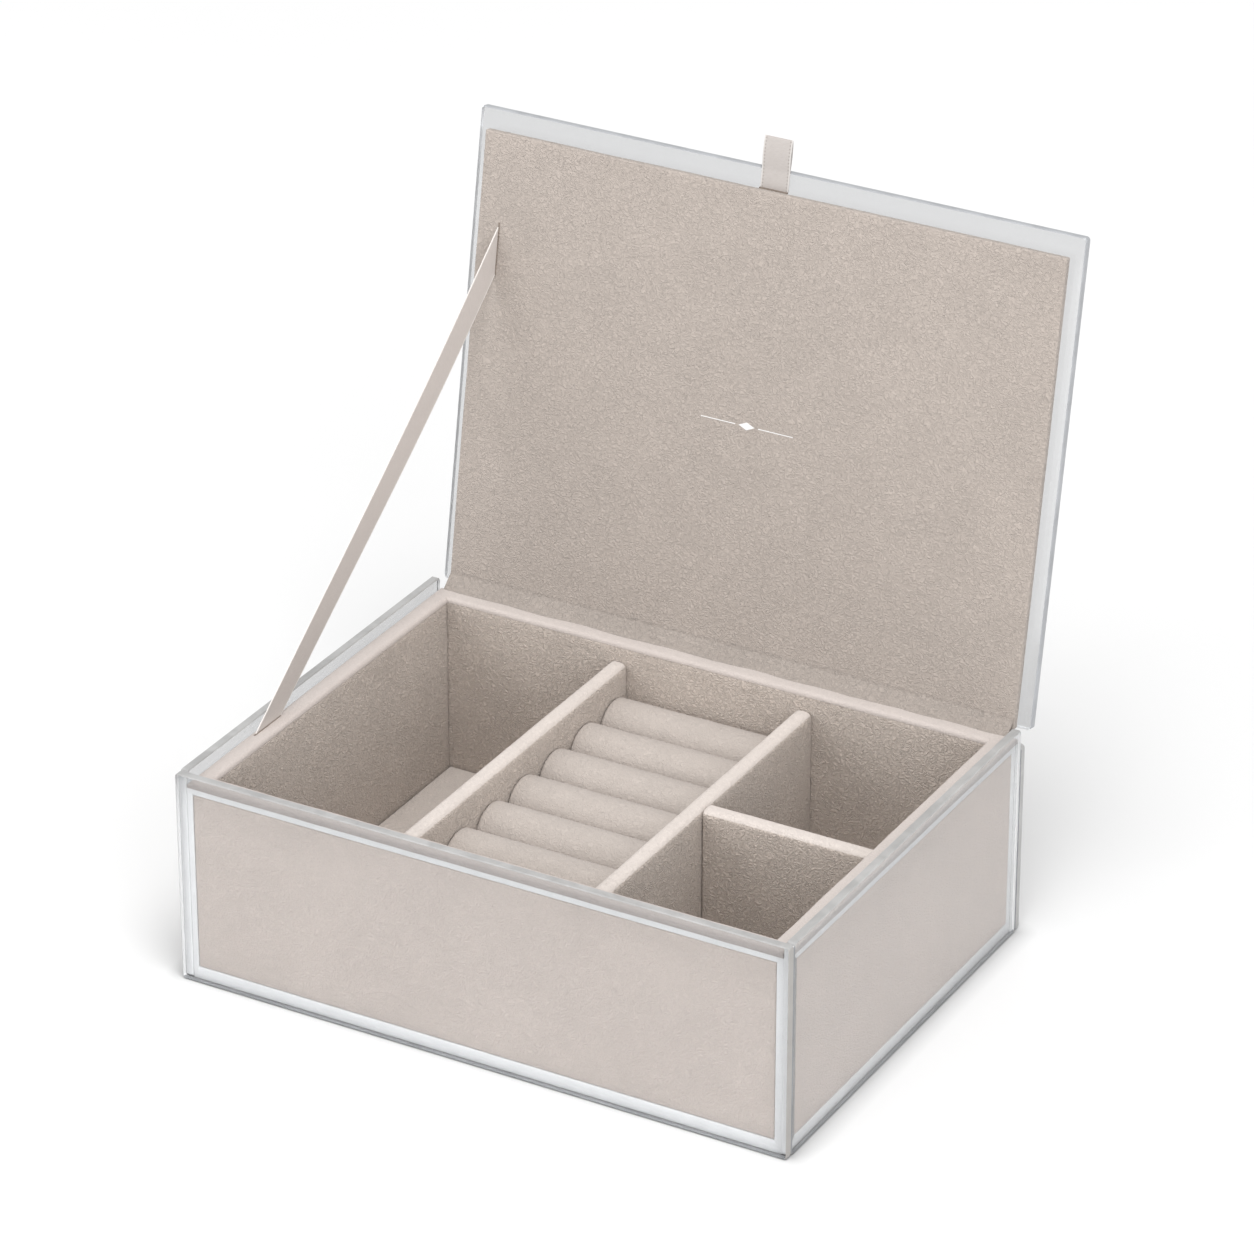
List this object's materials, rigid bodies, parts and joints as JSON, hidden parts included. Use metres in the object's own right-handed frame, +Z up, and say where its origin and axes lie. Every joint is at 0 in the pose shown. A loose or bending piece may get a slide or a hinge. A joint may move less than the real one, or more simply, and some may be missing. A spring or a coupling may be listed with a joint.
{
  "type": "jewelry box",
  "caption": "Clear glass jewelry box with a suede-lined tray, dividers and ring rolls, and a padded glass lid held open by a ribbon stay.",
  "frame": {"origin": "middle of the underside of the case", "axes": "+Z up, +X to the right seen from the front, front of the box towards -Y"},
  "size_m": [0.26, 0.2314, 0.2862],
  "materials": {
    "clear_glass": "polished clear sheet with arrised edges",
    "white_board": "satin white board",
    "suede_cover": "microsuede with a fine even nap, stone beige",
    "suede_lining": "microsuede with a brushed nap, stone beige",
    "satin_ribbon": "woven satin ribbon with plain edges"
  },
  "bodies": {
    "case": {"base_glass": "clear_glass", "base_board": "white_board", "front_glass": "clear_glass", "front_panel": "suede_cover", "front_border": "white_board", "front_backing": "white_board", "front_liner": "suede_lining", "front_rim": "suede_lining", "right_glass": "clear_glass", "right_panel": "suede_cover", "right_border": "white_board", "right_backing": "white_board", "right_liner": "suede_lining", "right_rim": "suede_lining", "back_glass": "clear_glass", "back_panel": "suede_cover", "back_border": "white_board", "back_backing": "white_board", "back_liner": "suede_lining", "back_rim": "suede_lining", "left_glass": "clear_glass", "left_panel": "suede_cover", "left_border": "white_board", "left_backing": "white_board", "left_liner": "suede_lining", "left_rim": "suede_lining", "divider_left": "suede_lining", "divider_right": "suede_lining", "cross_divider": "suede_lining", "floor_pad_left": "suede_lining", "floor_pad_right_front": "suede_lining", "floor_pad_right_back": "suede_lining", "ring_bed": "suede_lining", "ring_roll_1": "suede_lining", "ring_roll_2": "suede_lining", "ring_roll_3": "suede_lining", "ring_roll_4": "suede_lining", "ring_roll_5": "suede_lining", "ring_roll_6": "suede_lining", "ring_roll_7": "suede_lining", "hinge_cloth": "suede_lining", "ribbon_stay": "satin_ribbon"},
    "lid": {"lid_glass": "clear_glass", "lid_pad": "suede_lining", "lid_backing": "suede_lining", "pull_tab": "satin_ribbon"}
  },
  "joints": [
    {"name": "lid_hinge", "type": "hinge", "parent": "case", "child": "lid", "pos_m": [0, 0.095, 0.0849], "axis": [1, 0, 0], "range_deg": [0, 100], "deforming": ["hinge_cloth", "ribbon_stay"]}
  ]
}
